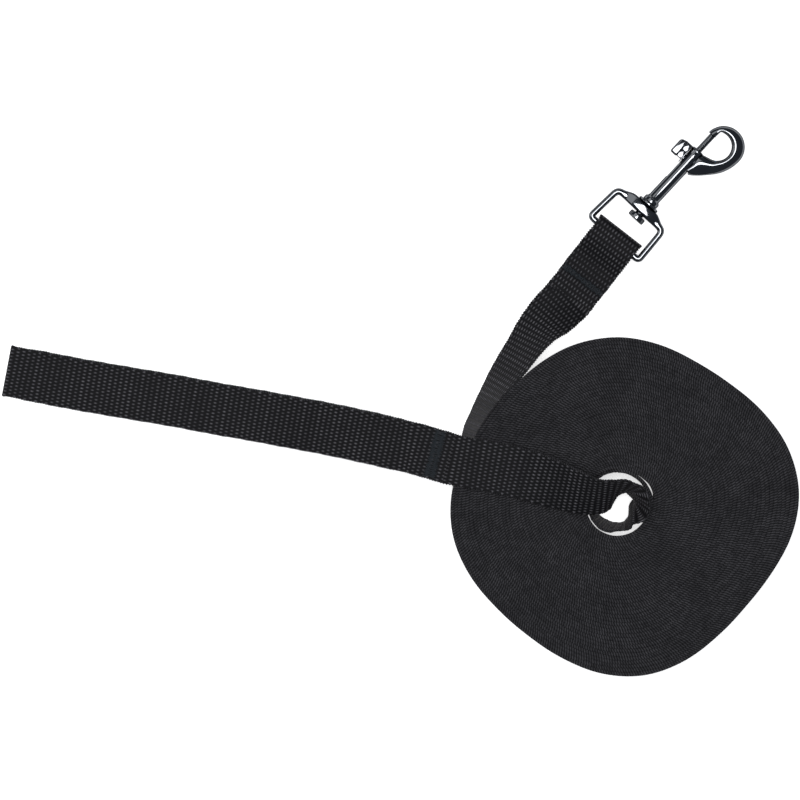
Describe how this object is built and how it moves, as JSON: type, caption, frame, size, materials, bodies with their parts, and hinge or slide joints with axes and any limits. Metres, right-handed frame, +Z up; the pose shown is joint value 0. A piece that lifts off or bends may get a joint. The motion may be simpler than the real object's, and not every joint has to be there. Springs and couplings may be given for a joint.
{
  "type": "training leash",
  "caption": "Long flat webbing training leash, wound into a roll, with a sewn hand loop at one end and a swivel bolt snap at the other.",
  "frame": {"origin": "on the floor, under the middle of the whole object's box", "axes": "+Z up from the floor; the hand loop points to -X, the roll lies at +X and the snap at +X +Y"},
  "size_m": [0.3122, 0.2156, 0.035],
  "materials": {
    "webbing": "woven, matt black",
    "thread": "matt black sewing thread",
    "plated": "bright plated casting",
    "steel": "bright steel"
  },
  "bodies": {
    "roll": {"strap_roll": "webbing", "inner_turn": "webbing", "core_rise": "webbing", "strap_over_roll": "webbing"},
    "hand_loop": {"loop_lower": "webbing", "loop_upper": "webbing", "loop_stitching": "thread"},
    "lead": {"lead_strap": "webbing", "snap_fold": "webbing", "fold_stitching": "thread"},
    "eye": {"swivel_eye": "plated"},
    "snap": {"snap_body": "plated", "swivel_stud": "plated", "swivel_washer": "plated", "bolt_spring": "steel"},
    "bolt": {"bolt_pin": "steel", "thumb_knob": "plated"}
  },
  "joints": [
    {"name": "handle_flex", "type": "hinge", "parent": "roll", "child": "hand_loop", "pos_m": [0.0242, -0.0241, 0.0218], "axis": [0.1959, 0.9806, 0], "range_deg": [0, 100]},
    {"name": "lead_flex", "type": "hinge", "parent": "roll", "child": "lead", "pos_m": [0.0269, -0.0142, 0.01], "axis": [0, 0, 1], "range_deg": [0, 45]},
    {"name": "eye_pivot", "type": "hinge", "parent": "lead", "child": "eye", "pos_m": [0.08471, 0.06299, 0.00534], "axis": [0.7325, -0.6807, 0], "range_deg": [-85, 85]},
    {"name": "snap_swivel", "type": "hinge", "parent": "eye", "child": "snap", "pos_m": [0.0994, 0.0788, 0.00445], "axis": [0.6801, 0.7319, -0.0411], "continuous": true},
    {"name": "bolt_slide", "type": "slide", "parent": "snap", "child": "bolt", "axis": [-0.6801, -0.7319, 0.0411], "range_m": [0, 0.0085], "stiffness_N_per_m": 400, "springref_m": -0.003, "deforming": ["bolt_spring"]}
  ]
}
